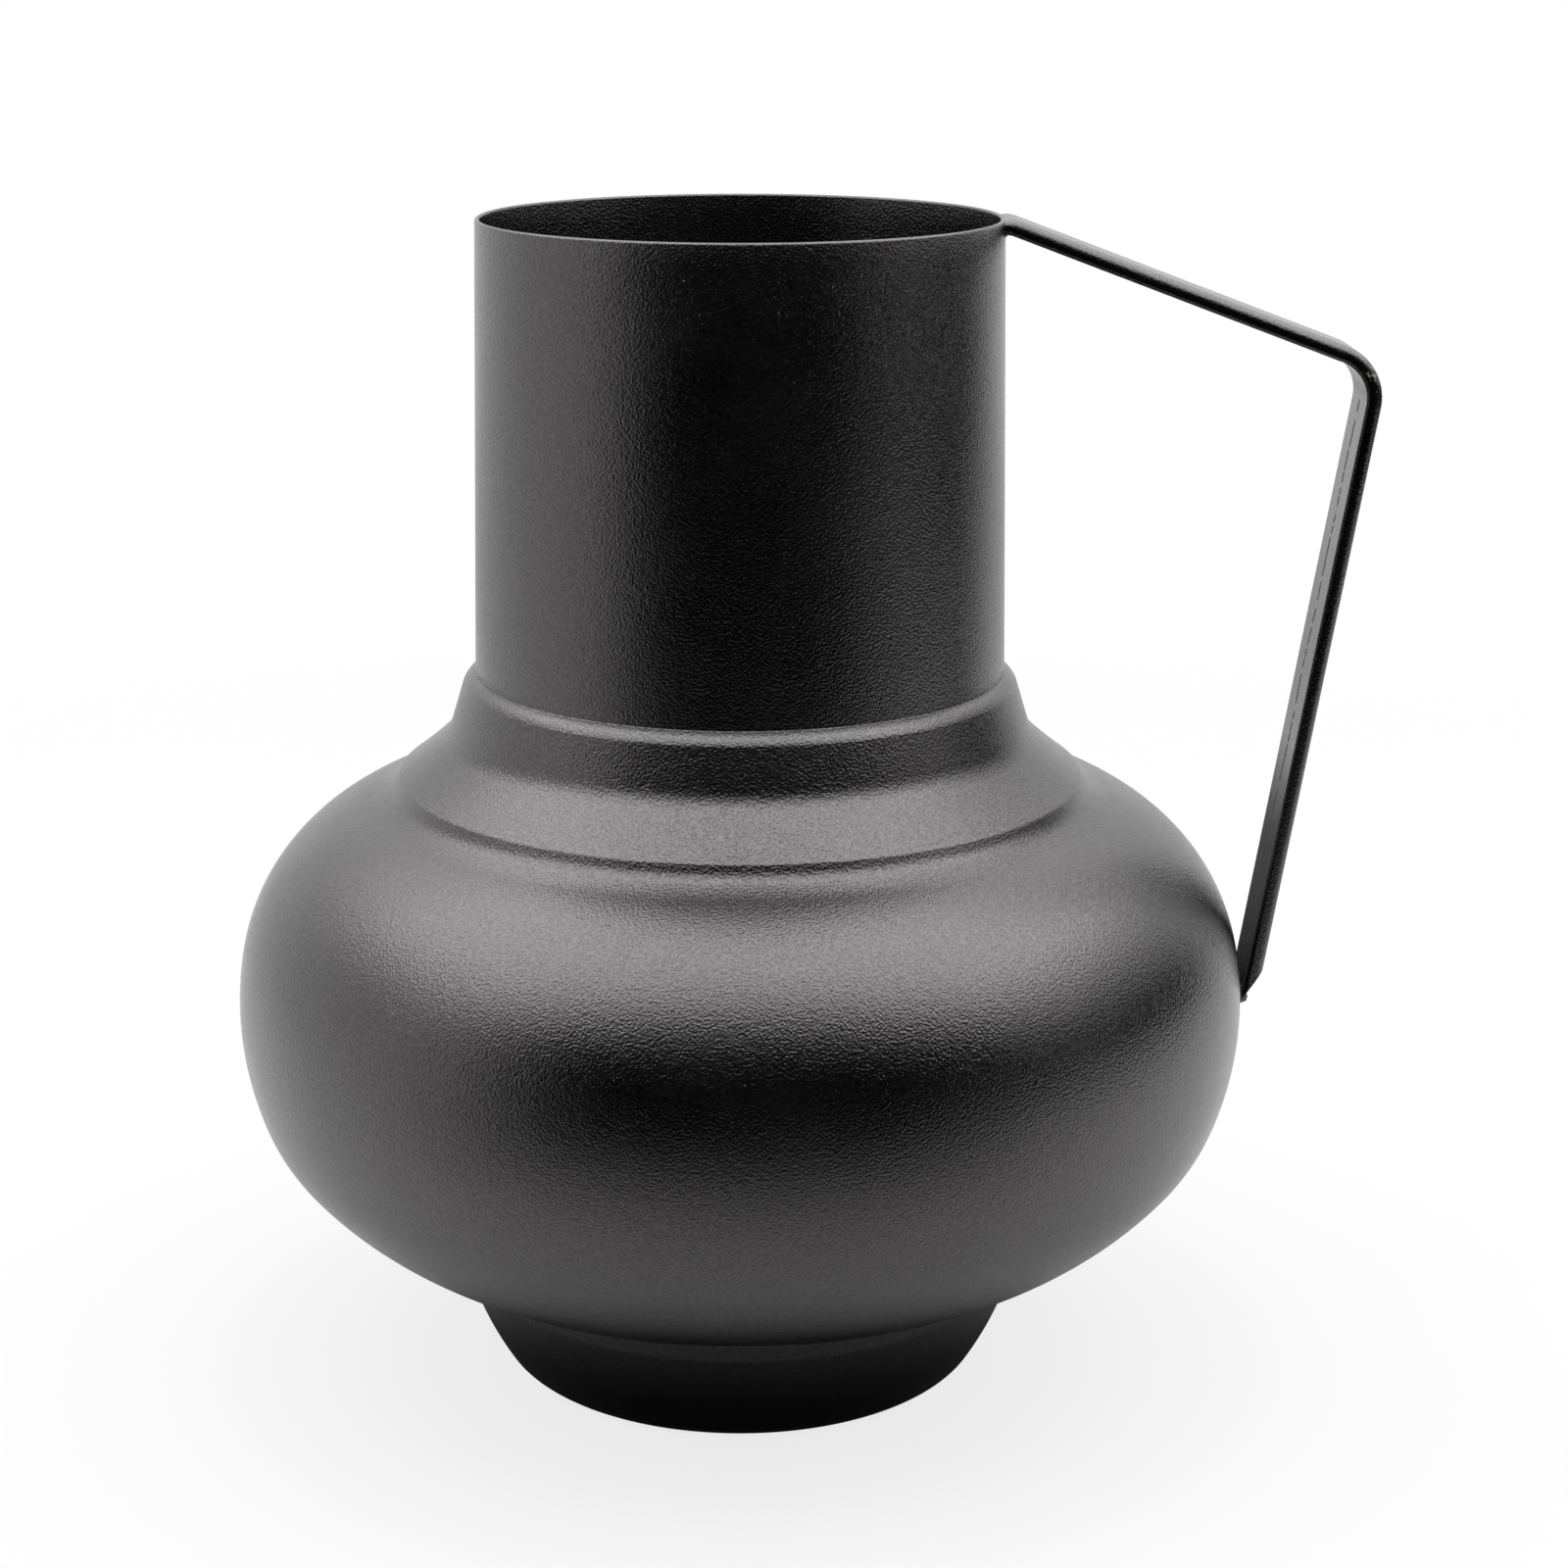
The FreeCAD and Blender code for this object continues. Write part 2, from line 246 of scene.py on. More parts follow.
neck_section = np.vstack([lip_half[:-1, :2], neck_outside[:, :2], beside(neck_outside, WALL)[::-1],
                          lip_inner_half[1:-1, :2]])
neck = spun("neck", neck_section, sheet_coat)
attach(neck, "root")
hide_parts("neck_tube")


# Shoulder collar: a ring spun over a former in two soft steps, welded inside to the neck, where a
# sharp crease is left, and to the belly along a seam that is ground flush.

CREASE_ROUND = 0.25
BEAD_SLOPE = 22.7233
BEAD_ROUND = 5.9385
BEAD_END = 62.0
BEAD_EDGE_ROUND = 2.0
FIRST_SLOPE = 73.0
FIRST_WALL = 10.3589
FIRST_HOLLOW = 10.0
FLARE_TOP = 43.0
FLARE_ROUND = 114.4871
FLARE_END = 36.0
SECOND_ROUND = 1.6
SECOND_SLOPE = 66.0
SECOND_WALL = 1.2612
SECOND_HOLLOW = 6.0
HOLLOW_END = 33.0
SEAM_HOLLOW = 24.3163
SEAM_SLOPE = 19.46
COLLAR_STRIDE = 0.9

collar_outside = walk((NECK_FOOT_RADIUS, CREASE_HEIGHT), neck_heading,
                      [(-BEAD_SLOPE - neck_heading, CREASE_ROUND),
                       (BEAD_SLOPE - BEAD_END, BEAD_ROUND),
                       (BEAD_END - FIRST_SLOPE, BEAD_EDGE_ROUND),
                       (0, FIRST_WALL),
                       (FIRST_SLOPE - FLARE_TOP, FIRST_HOLLOW),
                       (FLARE_TOP - FLARE_END, FLARE_ROUND),
                       (FLARE_END - SECOND_SLOPE, SECOND_ROUND),
                       (0, SECOND_WALL),
                       (SECOND_SLOPE - HOLLOW_END, SECOND_HOLLOW),
                       (HOLLOW_END - SEAM_SLOPE, SEAM_HOLLOW)], stride=COLLAR_STRIDE)


def sheet_section(outside):
    """The outline of a sheet's cut: its outer face, then its inner face one wall deeper."""
    return np.vstack([outside[:, :2], beside(outside, WALL)[::-1]])


collar = spun("collar", sheet_section(collar_outside), sheet_coat)
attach(collar, "root")
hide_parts("shoulder_collar")


# Belly: two squashed shells spun from the same sheet, butted along the widest line and welded
# inside, so the outside runs on without a mark.

BELLY_RADIUS = 130.0
BELLY_HEIGHT = 99.9
SHOULDER_ROUND = 50.8
SIDE_ROUND = 77.0
SIDE_LIFT = 11.5
SIDE_DIP = 20.6
BILGE_ROUND = 39.7
BILGE_DIP = 39.4
UNDER_ROUND = 84.5
HOLE_DIP = 81.35

upper_turn = 90 - SEAM_SLOPE
upper_start = collar_outside[-1, :2]
upper_outside = walk(upper_start, -SEAM_SLOPE,
                     [(SIDE_LIFT - upper_turn, SHOULDER_ROUND), (-SIDE_LIFT, SIDE_ROUND)])
lower_outside = walk((BELLY_RADIUS, BELLY_HEIGHT), -90,
                     [(-SIDE_DIP, SIDE_ROUND), (SIDE_DIP - BILGE_DIP, BILGE_ROUND),
                      (BILGE_DIP - HOLE_DIP, UNDER_ROUND)])
for name, outside in (("belly_upper", upper_outside), ("belly_lower", lower_outside)):
    shell = spun(name + "_shell", sheet_section(outside), sheet_coat)
    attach(shell, "root")
    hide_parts(name)


# Foot: a spun cup with a rounded lower edge, a tapering side and a short upright band over a fine
# line, pushed up against the belly and welded all round with a small fillet.

FOOT_FLAT = 55.9
FOOT_CORNER = 9.3
FOOT_CORNER_TURN = 58.0
FOOT_SIDE = 84.0
FOOT_SIDE_TURN = 17.0
FOOT_LINE = 1.6
FOOT_JOINT_HEIGHT = 33.22
FILLET = 2.0
FILLET_ROWS = 7
# The foot's copy of the coat reflects less: painted shade low on the jug
FOOT_SHADE_IOR = 1.4

foot_line_turn = 90 - FOOT_CORNER_TURN - FOOT_SIDE_TURN
foot_outside = walk((0, 0), 0, [(0, FOOT_FLAT), (FOOT_CORNER_TURN, FOOT_CORNER),
                                (FOOT_SIDE_TURN, FOOT_SIDE), (foot_line_turn, FOOT_LINE)], stride=2)
foot_radius = foot_outside[-1, 0]
foot_outside = np.vstack([foot_outside, [[foot_radius, FOOT_JOINT_HEIGHT - WALL / 4, 90]]])[::-1]
foot_outside[:, 2] -= 180
foot_inside = beside(foot_outside, WALL)
foot_section = np.vstack([foot_inside[::-1], foot_outside[:, :2]])
# A shaded copy of the same coat, with a lower IOR, for painted shade on the foot
foot_shaded_coat = coat("shaded copy of black powder coat on the foot", ior=FOOT_SHADE_IOR)[0]
foot = spun("foot", foot_section, foot_shaded_coat, closed=False)
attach(foot, "root")
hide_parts("foot_cup")

corner = np.array([foot_radius, FOOT_JOINT_HEIGHT])
on_belly = lower_outside[np.argmin(abs(lower_outside[:, 0] - foot_radius - FILLET)), :2]
on_band = corner - [0, FILLET]
bow = np.linspace(0, 1, FILLET_ROWS)[:, None]
fillet_face = (1 - bow) ** 2 * on_belly + 2 * bow * (1 - bow) * corner + bow ** 2 * on_band
fillet_back = [corner - [WALL / 3, FILLET], corner + [-WALL / 3, WALL / 3]]
fillet = spun("foot_fillet", np.vstack([fillet_face, *fillet_back]), sheet_coat)
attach(fillet, "root")
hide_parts("foot_weld")


# Inner weld beads: low three-sided ridges along the seams inside. They can hardly be seen down
# the neck, so the frame's own rings stay, in the coat over a rough bead.

WELD_PEEL_DEPTH = 0.4
WELD_ROUGHNESS = 0.3

weld_coat = coat("black powder coat over weld bead", peel_depth=WELD_PEEL_DEPTH,
                 roughness=WELD_ROUGHNESS)[0]
for seam in ("neck_weld", "collar_weld", "girth_weld"):
    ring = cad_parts[seam]
    ring.data.materials.clear()
    ring.data.materials.append(weld_coat)


# Handle: one 20 x 4 mm flat bar, its outer corners well rounded by rolling and its inner ones
# only eased, bent once over a bar, scribed to the neck's round and cut on a slant at its tip.

STRAP_WIDTH = 20.0
STRAP_THICKNESS = 4.0
OUTER_CORNER = 2.0
INNER_CORNER = 1.0
TOP_HEIGHT = 301.05
TOP_SLOPE = 20.6
LOWER_LEAN = 8.9
BEND_INSIDE = 10.0
TIP_GAP = 0.69
MITRE_HEIGHT = 8.4
SUNK = 0.2
EASE_DROP = 1.2
EASE_REACH = 2.0
HALF_WIDTH = STRAP_WIDTH / 2
CORNER_ROWS = 7
FLAT_ROWS = 15
TOP_ROWS = 46
TOP_CROWDING = 1.5
BEND_ROWS = 21
LOWER_ROWS = 51
FIT_PASSES = 4


def swept(name, points, material):
    """A closed section carried along a path, as (stations, section, 3) points, with its two ends
    filled."""
    return finished(name, grid_mesh(name, points, False, True), material)


def heading_vectors(heading):
    """Unit vectors (x, z) along a heading and to the right of it, where the strap's metal is."""
    angle = np.radians(heading)
    ahead = np.stack([np.cos(angle), np.sin(angle)], axis=-1)
    return ahead, np.stack([np.sin(angle), -np.cos(angle)], axis=-1)


# Section: the place across and the depth below the outer face, round two flats and four
# quarter-round corners
quarter = np.radians(np.linspace(0, 90, CORNER_ROWS))
sine, cosine = np.sin(quarter), np.cos(quarter)
outer_flat, inner_flat = HALF_WIDTH - OUTER_CORNER, HALF_WIDTH - INNER_CORNER
inner_level = STRAP_THICKNESS - INNER_CORNER
flat = np.linspace(-1, 1, FLAT_ROWS)[1:-1]
across = np.hstack([flat * outer_flat, outer_flat + OUTER_CORNER * sine,
                    inner_flat + INNER_CORNER * cosine, -flat * inner_flat,
                    -inner_flat - INNER_CORNER * sine, -outer_flat - OUTER_CORNER * cosine])
depth = np.hstack([0 * flat, OUTER_CORNER * (1 - cosine),
                   inner_level + INNER_CORNER * sine, 0 * flat + STRAP_THICKNESS,
                   inner_level + INNER_CORNER * cosine, OUTER_CORNER * (1 - sine)])

lower_heading = -90 - LOWER_LEAN
top_ahead, top_right = heading_vectors(-TOP_SLOPE)
lower_ahead, lower_right = heading_vectors(lower_heading)
outer_bend = BEND_INSIDE + STRAP_THICKNESS
rim_start = np.array([np.sqrt(RIM_RADIUS ** 2 - HALF_WIDTH ** 2), TOP_HEIGHT])
tip_outer = np.array([BELLY_RADIUS + TIP_GAP, BELLY_HEIGHT]) - STRAP_THICKNESS * lower_right
legs = np.linalg.solve(np.column_stack([top_ahead, lower_ahead]), tip_outer - rim_start)
setback = outer_bend * np.tan(np.radians(-lower_heading - TOP_SLOPE) / 2)
top_length, lower_length = legs - setback
bend_centre = rim_start + top_length * top_ahead + outer_bend * top_right

# The top end starts where each line of the section meets the cone of the neck
start = np.zeros(len(depth))
for _ in range(FIT_PASSES):
    level = rim_start[1] + start * top_ahead[1] + depth * top_right[1]
    cone = RIM_RADIUS + (JUG_HEIGHT - level) * np.tan(np.radians(neck_slope))
    start = (np.sqrt(cone ** 2 - across ** 2) - rim_start[0] - depth * top_right[0]) / top_ahead[0]
start = start - SUNK

# Rows along the strap: the top leg, whose outer face is ground down to the rim at its start, the
# bend about its centre, and the lower leg down to the slant
share = np.linspace(0, 1, TOP_ROWS)[:, None] ** TOP_CROWDING
reach = start + (top_length - start) * share
ground = EASE_DROP * np.exp(-(reach / EASE_REACH) ** 2) * (1 - depth / STRAP_THICKNESS)
top_rows = rim_start + reach[..., None] * top_ahead + (depth + ground)[..., None] * top_right
turn_right = heading_vectors(np.linspace(-TOP_SLOPE, lower_heading, BEND_ROWS))[1][1:-1, None]
bend_rows = bend_centre - (outer_bend - depth)[:, None] * turn_right
slant_end = lower_length - MITRE_HEIGHT * (1 - depth / STRAP_THICKNESS)
share = np.linspace(0, 1, LOWER_ROWS)[:, None]
lower_start = bend_centre - outer_bend * lower_right
lower_reach = slant_end * share
lower_rows = lower_start + lower_reach[..., None] * lower_ahead + depth[:, None] * lower_right
profile = np.vstack([top_rows, bend_rows, lower_rows])
strap_points = np.stack([profile[..., 0], across + 0 * profile[..., 0], profile[..., 1]], axis=-1)

# The same coat on a smoother rolled bar. It is rubbed through to the pale primer on the near
# corner of the bend, a fine broken draw mark runs down the inner face of the lower leg, and the
# weld's heat has dulled that face near the tip.
STRAP_PEEL_DEPTH = 0.1
PRIMER = "#6e675c"
RUB_REACH = 5.5
RUB_LIFT = 0.42
RUB_EDGE = (0.84, 0.92)
RUB_GRAIN = 0.8
RUB_DETAIL = 3.0
MARK_WIDTH = 0.9
MARK_CORE = 0.3
MARK_WAVE = 2.2
MARK_WAVELENGTH = 22.0
MARK_WAVE_DETAIL = 1.0
MARK_BREAK = 3.0
MARK_BREAK_DETAIL = 2.0
MARK_BREAK_EDGE = (0.42, 0.5)
MARK_DEPTH = 0.2
WELD_HEAT = (168.0, 140.0)
DULL_ROUGHNESS = 0.75
ON_FACE = 0.02

strap_coat, place, colour, height, shader = coat(
    "black powder coat on flat bar, rubbed at the bend", peel_depth=STRAP_PEEL_DEPTH)
rub_turn = np.radians((lower_heading - TOP_SLOPE) / 2 + 90)
rub_place = bend_centre + outer_bend * np.array([np.cos(rub_turn), np.sin(rub_turn)])
rub_centre = np.array([rub_place[0], -HALF_WIDTH, rub_place[1]]) * MM
away = add(strap_coat, "VectorMath", {0: place, 1: rub_centre}, operation="DISTANCE")
rub_near = add(strap_coat, "MapRange", {"Value": away.outputs["Value"], "From Min": RUB_REACH * MM,
                                        "From Max": 0.0, "To Max": RUB_LIFT},
               interpolation_type="SMOOTHSTEP")
grit = add(strap_coat, "TexNoise", {"Vector": place, "Scale": per_metre(RUB_GRAIN),
                                    "Detail": RUB_DETAIL})
rub_sum = add(strap_coat, "Math", {0: rub_near.outputs[0], 1: grit.outputs["Fac"]}, operation="ADD")
rubbed = add(strap_coat, "MapRange", {"Value": rub_sum.outputs[0], "From Min": RUB_EDGE[0],
                                      "From Max": RUB_EDGE[1]})

split = add(strap_coat, "SeparateXYZ", {"Vector": place})
rise = add(strap_coat, "CombineXYZ", {"Z": split.outputs["Z"]})
wave = add(strap_coat, "TexNoise", {"Vector": rise.outputs[0], "Scale": per_metre(MARK_WAVELENGTH),
                                    "Detail": MARK_WAVE_DETAIL})
middle = add(strap_coat, "MapRange", {"Value": wave.outputs["Fac"], "To Min": -MARK_WAVE * MM,
                                      "To Max": MARK_WAVE * MM})
off_mark = add(strap_coat, "Math", {0: split.outputs["Y"], 1: middle.outputs[0]},
               operation="SUBTRACT")
off_mark = add(strap_coat, "Math", {0: off_mark.outputs[0]}, operation="ABSOLUTE")
on_mark = add(strap_coat, "MapRange", {"Value": off_mark.outputs[0], "From Min": MARK_WIDTH * MM,
                                       "From Max": MARK_CORE * MARK_WIDTH * MM})
gaps = add(strap_coat, "TexNoise", {"Vector": rise.outputs[0], "Scale": per_metre(MARK_BREAK),
                                    "Detail": MARK_BREAK_DETAIL})
whole = add(strap_coat, "MapRange", {"Value": gaps.outputs["Fac"], "From Min": MARK_BREAK_EDGE[0],
                                     "From Max": MARK_BREAK_EDGE[1]})
inner = add(strap_coat, "Attribute", {}, attribute_name="inner_face")
mark = add(strap_coat, "Math", {0: on_mark.outputs[0], 1: whole.outputs[0]}, operation="MULTIPLY")
mark = add(strap_coat, "Math", {0: mark.outputs[0], 1: inner.outputs["Fac"]}, operation="MULTIPLY")
worn = add(strap_coat, "Mix", {"Factor": rubbed.outputs[0], "A": colour.outputs["Result"],
                               "B": linear(PRIMER)}, data_type="RGBA")
marked = add(strap_coat, "Math", {0: mark.outputs[0], 1: -MARK_DEPTH * MM, 2: height.outputs[0]},
             operation="MULTIPLY_ADD")
low = add(strap_coat, "MapRange", {"Value": split.outputs["Z"], "From Min": WELD_HEAT[0] * MM,
                                   "From Max": WELD_HEAT[1] * MM})
heated = add(strap_coat, "Math", {0: low.outputs[0], 1: inner.outputs["Fac"]}, operation="MULTIPLY")
dulled = add(strap_coat, "Math", {0: heated.outputs[0], 1: mark.outputs[0]}, operation="MAXIMUM")
duller = add(strap_coat, "MapRange", {"Value": dulled.outputs[0], "To Min": COAT_ROUGHNESS,
                                      "To Max": DULL_ROUGHNESS})
strap_coat.node_tree.links.new(duller.outputs[0], shader.inputs["Roughness"])
strap_coat.node_tree.links.new(worn.outputs["Result"], shader.inputs["Base Color"])
bump = next(node for node in strap_coat.node_tree.nodes if node.bl_idname == "ShaderNodeBump")
strap_coat.node_tree.links.new(marked.outputs[0], bump.inputs["Height"])

strap = swept("handle", strap_points, strap_coat)
coordinates = np.empty(3 * len(strap.data.vertices))
strap.data.vertices.foreach_get("co", coordinates)
from_side = coordinates.reshape(-1, 3)[:, [0, 2]] / MM
below_leg = (from_side - lower_start) @ lower_right
on_inner_face = abs(below_leg - STRAP_THICKNESS) < ON_FACE
inner_face = strap.data.attributes.new("inner_face", "FLOAT", "POINT")
inner_face.data.foreach_set("value", on_inner_face.astype(np.float32))
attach(strap, "root")
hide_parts("handle_strap")


# Handle's welds: a small smoothed fillet under the strap at the rim, and a rough lump of weld
# metal under the slant at the belly, both coated with the rest.

WELD_ROWS = 25
RIM_FILLET = 1.6
RIM_SPAN = 0.96
RIM_RIPPLE = 0.12
RIM_WAVES = (9, 5)
RIM_BOW = 0.16
RIM_BACK_DROP = 0.6
LUMP_RADIUS = 2.2
LUMP_SPAN = 0.98
LUMP_SHIFT = 0.2
LUMP_COLUMNS = 28
LUMP_ROUGHNESS = 0.16
LUMP_BLUNTNESS = 8
LUMP_WAVES = ((248, 2), (40, 5), (90, 3))
COARSE_SHARE = 0.6

sweep = np.linspace(-1, 1, WELD_ROWS)
azimuth = sweep * np.arcsin(RIM_SPAN * HALF_WIDTH / RIM_RADIUS)
under_drop = STRAP_THICKNESS / np.cos(np.radians(TOP_SLOPE))
root_x = RIM_RADIUS * np.cos(azimuth)
root_z = TOP_HEIGHT - under_drop - (root_x - rim_start[0]) * np.tan(np.radians(TOP_SLOPE))
root = np.stack([root_x, RIM_RADIUS * np.sin(azimuth), root_z], axis=-1)[:, None]
out = np.array([top_ahead[0], 0, top_ahead[1]])
down = np.array([0, 0, -1.0])
ripple = RIM_RIPPLE * np.sin(RIM_WAVES[0] * sweep) * np.cos(RIM_WAVES[1] * sweep + 1)
leg = RIM_FILLET * (1 + ripple)[:, None, None]
bow = np.linspace(0, 1, FILLET_ROWS)[:, None]
bulge = RIM_BOW * bow * (1 - bow) * (out + down)
face = root + leg * ((1 - bow) ** 2 * out + bow ** 2 * down + bulge)
inside = root - WALL / 3 * (out + down) * [1, 1, RIM_BACK_DROP]
rim_weld = swept("rim_fillet", np.concatenate([face, inside], axis=1), weld_coat)
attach(rim_weld, "root")
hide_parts("handle_rim_weld")

# The lump's radius is a round one, closed to a point at its ends and made rough by waves, each
# with its rate along the lump and round it
azimuth = sweep[:, None] * np.arcsin(LUMP_SPAN * HALF_WIDTH / BELLY_RADIUS)
turn = np.linspace(0, 2 * np.pi, LUMP_COLUMNS, endpoint=False)
waves = [along * azimuth + around * turn for along, around in LUMP_WAVES]
rough = np.sin(waves[0]) * np.sin(waves[1]) + COARSE_SHARE * np.cos(waves[2])
closing = np.sqrt(np.clip(1 - sweep[:, None] ** LUMP_BLUNTNESS, 0, 1))
radius = LUMP_RADIUS * (1 + LUMP_ROUGHNESS * rough) * closing
lump_r = BELLY_RADIUS + LUMP_SHIFT + radius * np.cos(turn)
lump_z = BELLY_HEIGHT - LUMP_SHIFT + radius * np.sin(turn)
lump = np.stack([lump_r * np.cos(azimuth), lump_r * np.sin(azimuth), lump_z], axis=-1)
belly_weld = swept("tip_weld", lump, weld_coat)
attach(belly_weld, "root")
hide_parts("handle_belly_weld")


# Studio: a plain pale floor that runs out to a white surround, one wide softbox overhead, and
# dark flags in front and at the right, which only reflections see. Sizes here are in metres. A
# fade is an axis, the place where a region starts, and the place where it is at its full level.

WHITE = (1, 1, 1, 1)
SURROUND_LEVEL = 1.0
SURROUND_FILL = 0.15
FLOOR_COLOUR = "#bdbdbd"
# Painted shade on the floor as reflections see it: darker in front and right under the jug
FLOOR_FRONT_SHADE_FADE = [("Y", -0.08, -0.42), ("X", -0.8, -0.3), ("X", 0.8, 0.3)]
FLOOR_FRONT_SHADE_LEVEL = 0.15
FLOOR_SHADOW_RADII = (0.07, 0.095)
FLOOR_SHADOW_LEVEL = 0.25
FLOOR_NEAR_WHITE = 0.8
FLOOR_FADE = (0.45, 0.9)
FLOOR_HALF = 6.0
BOX_LEVEL = 3.7
BOX_HEIGHT = 1.0
BOX_HALF = 1.8
BOX_FRONT = -1.35
BOX_BACK = 1.4
BOX_FADE = [("X", -BOX_HALF, -1.1), ("X", BOX_HALF, 1.1),
            ("Y", BOX_FRONT, -0.2), ("Y", BOX_BACK, 0.2)]
FLAG_LEVEL = 0.0
FRONT_LEFT = -0.95
FRONT_RIGHT = 1.4
FRONT_Y = -0.55
FRONT_TOP = 0.68
FRONT_FADE = [("X", FRONT_LEFT, -0.45), ("X", FRONT_RIGHT, 0.8), ("Z", FRONT_TOP, 0.42)]
RIGHT_X = 0.95
RIGHT_NEAR = -0.7
RIGHT_FAR = 0.9
RIGHT_TOP = 0.4
RIGHT_FADE = [("Y", RIGHT_FAR, 0.5), ("Z", RIGHT_TOP, 0.25)]


def panel(name, corners, material):
    """One flat quad of the studio, from its four corners in metres."""
    mesh = bpy.data.meshes.new(name)
    mesh.from_pydata(corners, [], [(0, 1, 2, 3)])
    mesh.materials.append(material)
    piece = bpy.data.objects.new(name, mesh)
    bpy.context.scene.collection.objects.link(piece)
    return piece


def plain(name):
    """An empty node material for the studio, with the place that its patterns read."""
    material = bpy.data.materials.new(name)
    material.use_nodes = True
    material.node_tree.nodes.clear()
    return material, add(material, "TexCoord", {}).outputs["Object"]


def within(material, place, fades):
    """A socket that is 1 inside a region and 0 outside it: the product of smooth rises, one along
    an axis for each fade (axis, edge, full)."""
    parts = add(material, "SeparateXYZ", {"Vector": place})
    inside = 1.0
    for axis, edge, full in fades:
        rise = add(material, "MapRange", {"Value": parts.outputs[axis], "From Min": edge,
                                          "From Max": full}, interpolation_type="SMOOTHSTEP")
        inside = add(material, "Math", {0: rise.outputs[0], 1: inside},
                     operation="MULTIPLY").outputs[0]
    return inside


# Matt paper. The camera sees it near white, and white further off. Reflections see painted shade
# on it: a painted shadow right under the jug, and darker in front, as where a table ends.
paper, place = plain("matt white paper floor")
rays = add(paper, "LightPath", {})
far_off = add(paper, "VectorMath", {0: place}, operation="LENGTH")
shadow_under = add(paper, "MapRange", {"Value": far_off.outputs["Value"], "From Min": FLOOR_SHADOW_RADII[0],
                                "From Max": FLOOR_SHADOW_RADII[1], "To Min": FLOOR_SHADOW_LEVEL})
shade_in_front = add(paper, "MapRange", {"Value": within(paper, place, FLOOR_FRONT_SHADE_FADE), "To Min": 1.0,
                                   "To Max": FLOOR_FRONT_SHADE_LEVEL})
reflected_shade = add(paper, "Math", {0: shadow_under.outputs[0], 1: shade_in_front.outputs[0]}, operation="MULTIPLY")
tone = add(paper, "Mix", {"Factor": rays.outputs["Is Glossy Ray"], "A": linear(FLOOR_COLOUR),
                          "B": reflected_shade.outputs[0]}, data_type="RGBA", blend_type="MULTIPLY")
diffuse = add(paper, "BsdfDiffuse", {"Color": tone.outputs["Result"]})
white = add(paper, "Emission", {"Color": WHITE, "Strength": 1.0})
whiter = add(paper, "MapRange", {"Value": far_off.outputs["Value"], "From Min": FLOOR_FADE[0],
                                 "From Max": FLOOR_FADE[1], "To Min": FLOOR_NEAR_WHITE})
seen = add(paper, "Math", {0: rays.outputs["Is Camera Ray"], 1: whiter.outputs[0]},
           operation="MULTIPLY")
far_white = add(paper, "MapRange", {"Value": far_off.outputs["Value"], "From Min": FLOOR_FADE[1],
                                    "From Max": 2 * FLOOR_FADE[1]})
seen = add(paper, "Math", {0: rays.outputs["Is Glossy Ray"], 1: far_white.outputs[0],
                           2: seen.outputs[0]}, operation="MULTIPLY_ADD")
mixed = add(paper, "MixShader", {0: seen.outputs[0], 1: diffuse.outputs[0], 2: white.outputs[0]})
add(paper, "OutputMaterial", {"Surface": mixed.outputs[0]})
panel("floor", [(-FLOOR_HALF, -FLOOR_HALF, 0), (FLOOR_HALF, -FLOOR_HALF, 0),
                (FLOOR_HALF, FLOOR_HALF, 0), (-FLOOR_HALF, FLOOR_HALF, 0)], paper)


def lit(name, corners, level, fades):
    """A panel that only shines: at the surround's level at its edges and smoothly to its own level
    within its fades. The camera doesn't see it, and it casts no shadow."""
    material, place = plain(name)
    strength = add(material, "MapRange", {"Value": within(material, place, fades),
                                          "To Min": SURROUND_LEVEL, "To Max": level})
    glow = add(material, "Emission", {"Color": WHITE, "Strength": strength.outputs[0]})
    add(material, "OutputMaterial", {"Surface": glow.outputs[0]})
    piece = panel(name, corners, material)
    piece.visible_camera = False
    piece.visible_shadow = False
    return piece


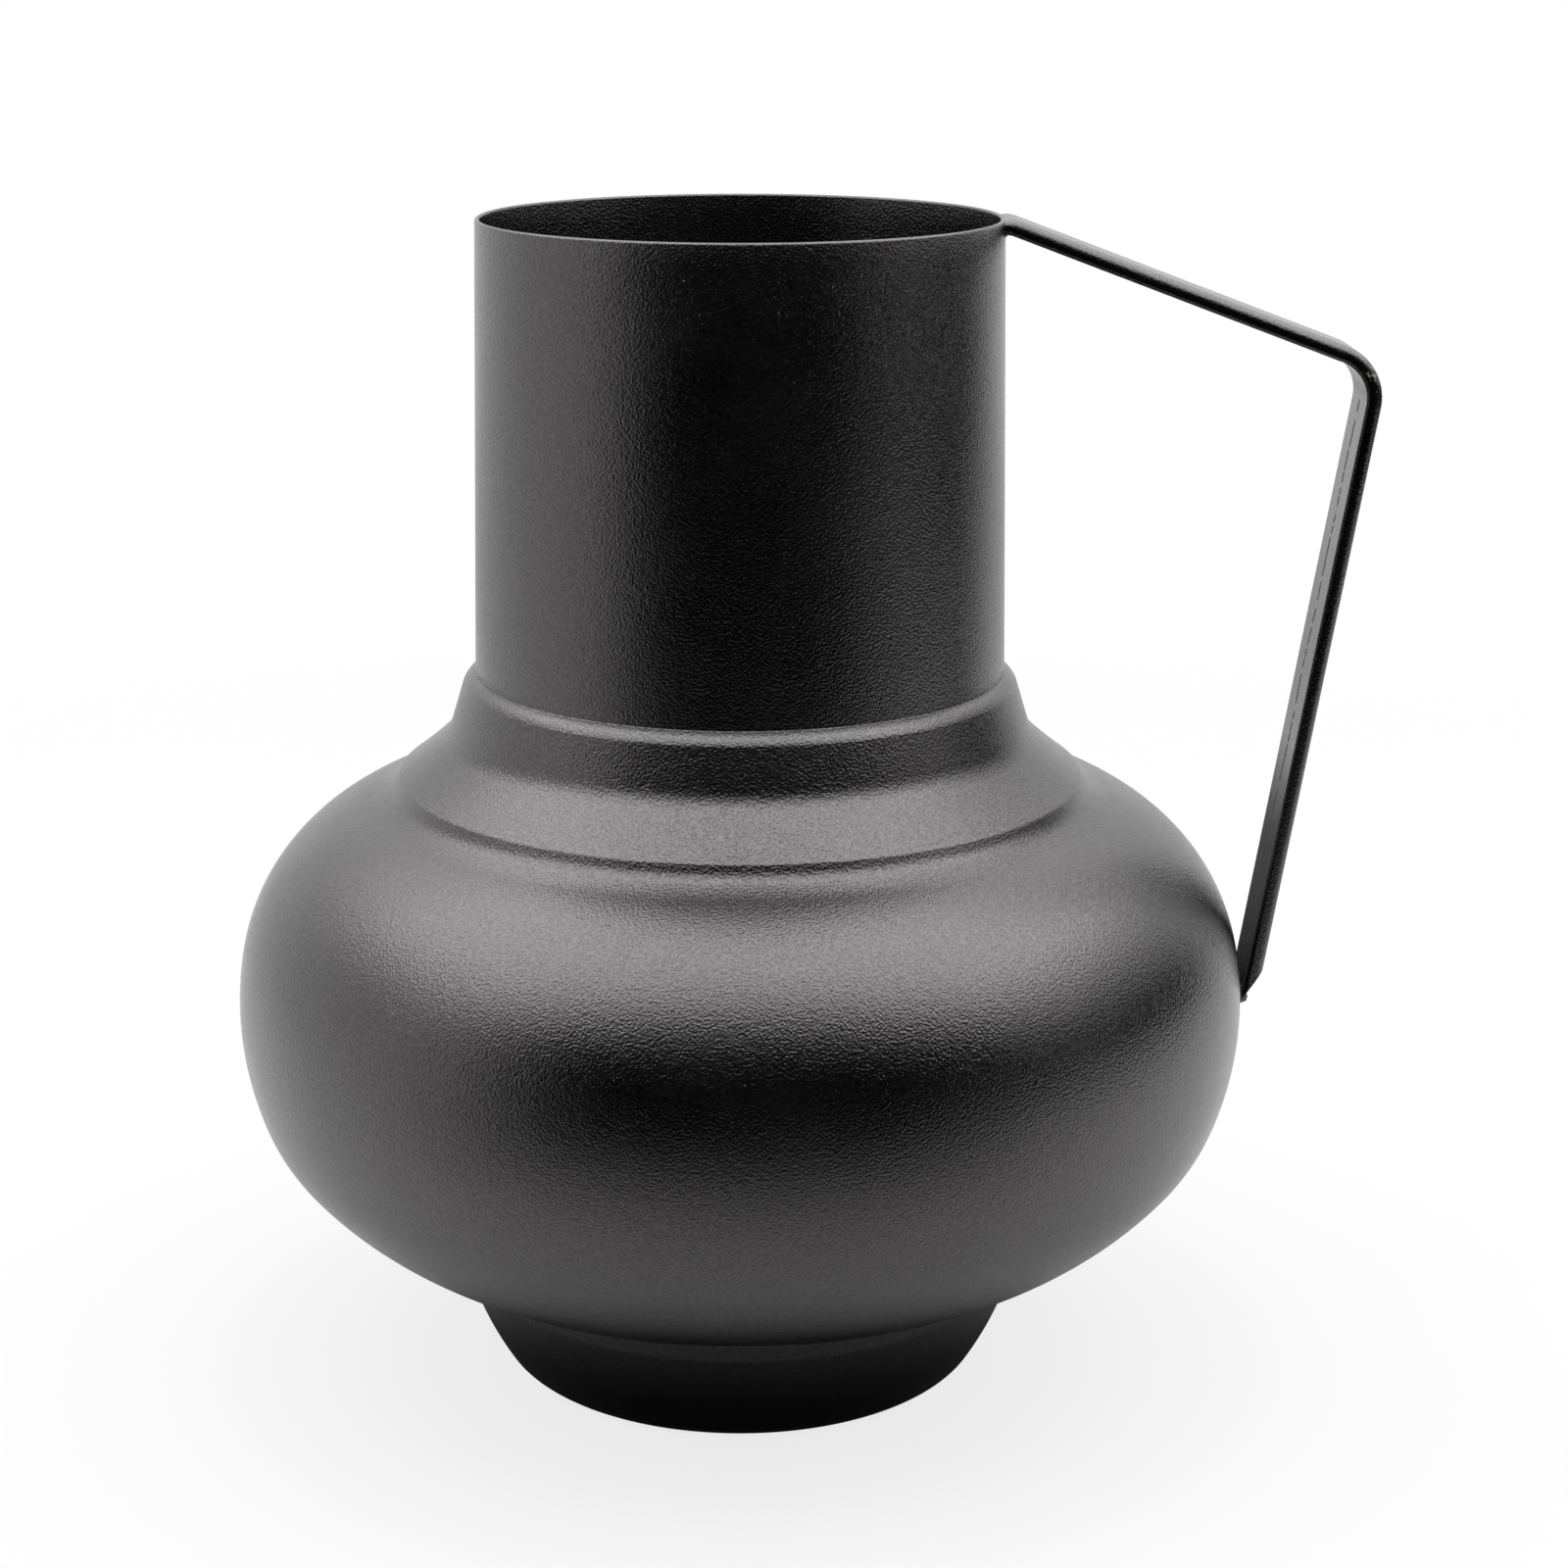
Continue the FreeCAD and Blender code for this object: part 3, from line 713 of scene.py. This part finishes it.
def upright(x0, y0, x1, y1, top):
    """Corners of an upright panel over a line on the floor."""
    return [(x0, y0, 0), (x1, y1, 0), (x1, y1, top), (x0, y0, top)]


box_corners = [(-BOX_HALF, BOX_FRONT, BOX_HEIGHT), (BOX_HALF, BOX_FRONT, BOX_HEIGHT),
               (BOX_HALF, BOX_BACK, BOX_HEIGHT), (-BOX_HALF, BOX_BACK, BOX_HEIGHT)]
front_corners = upright(FRONT_LEFT, FRONT_Y, FRONT_RIGHT, FRONT_Y, FRONT_TOP)
right_corners = upright(RIGHT_X, RIGHT_NEAR, RIGHT_X, RIGHT_FAR, RIGHT_TOP)
lit("softbox", box_corners, BOX_LEVEL, BOX_FADE)
front = lit("front_flag", front_corners, FLAG_LEVEL, FRONT_FADE)
right = lit("right_flag", right_corners, FLAG_LEVEL, RIGHT_FADE)
for flag in (front, right):
    flag.visible_diffuse = False

surround = bpy.data.worlds.new("white surround")
bpy.context.scene.world = surround
surround.use_nodes = True
surround.node_tree.nodes.clear()
path = add(surround, "LightPath", {})
fill = add(surround, "MapRange", {"Value": path.outputs["Is Diffuse Ray"], "To Min": SURROUND_LEVEL,
                                  "To Max": SURROUND_FILL})
sky = add(surround, "Background", {"Color": WHITE, "Strength": fill.outputs[0]})
add(surround, "OutputWorld", {"Surface": sky.outputs[0]})


# Camera: where the photograph's was, in front of the jug and a little above its rim, level from
# side to side, with the lens and the sideways shift that frame the jug as the photograph does.

CAMERA_PLACE = (0.0, -0.7933, 0.3733)
CAMERA_DIP = 15.39
CAMERA_LENS = 73.1
CAMERA_SHIFT = 0.0281

camera_data = bpy.data.cameras.new("camera")
camera_data.lens = CAMERA_LENS
camera_data.shift_x = CAMERA_SHIFT
camera = bpy.data.objects.new("camera", camera_data)
bpy.context.scene.collection.objects.link(camera)
camera.location = Vector(CAMERA_PLACE)
camera.rotation_euler = (np.radians(90 - CAMERA_DIP), 0, 0)
bpy.context.scene.camera = camera
bpy.context.scene.view_settings.view_transform = "Standard"
